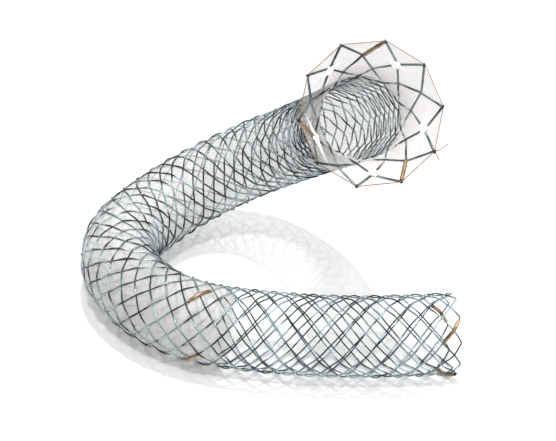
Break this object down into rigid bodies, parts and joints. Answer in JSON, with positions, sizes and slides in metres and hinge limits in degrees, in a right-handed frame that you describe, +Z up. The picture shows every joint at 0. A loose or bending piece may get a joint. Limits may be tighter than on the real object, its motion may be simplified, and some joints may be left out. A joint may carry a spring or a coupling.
{
  "type": "biliary stent",
  "caption": "Bent self-expanding biliary stent: bare braided wire at one end, film-covered body and flared mouth with a retrieval thread",
  "frame": {"origin": "middle of the footprint on the surface that the stent lies on", "axes": "+Z up, +X the way the plain end opens, +Y away from a viewer who sees the plain end on the right"},
  "size_m": [0.0444, 0.0398, 0.0412],
  "materials": {
    "wire": "dark blue-grey oxide on nickel-titanium wire",
    "film": "thin clear silicone film, slightly wrinkled",
    "thread": "twisted brown suture thread",
    "marker": "dull gold radiopaque sleeve"
  },
  "bodies": {
    "root": {"wire_braid": "wire", "cover_membrane": "film", "retrieval_thread": "thread", "marker_plain_1": "marker", "marker_plain_2": "marker", "marker_plain_3": "marker", "marker_middle_1": "marker", "marker_middle_2": "marker", "marker_middle_3": "marker", "marker_flare_1": "marker", "marker_flare_2": "marker", "marker_flare_3": "marker"}
  },
  "joints": []
}
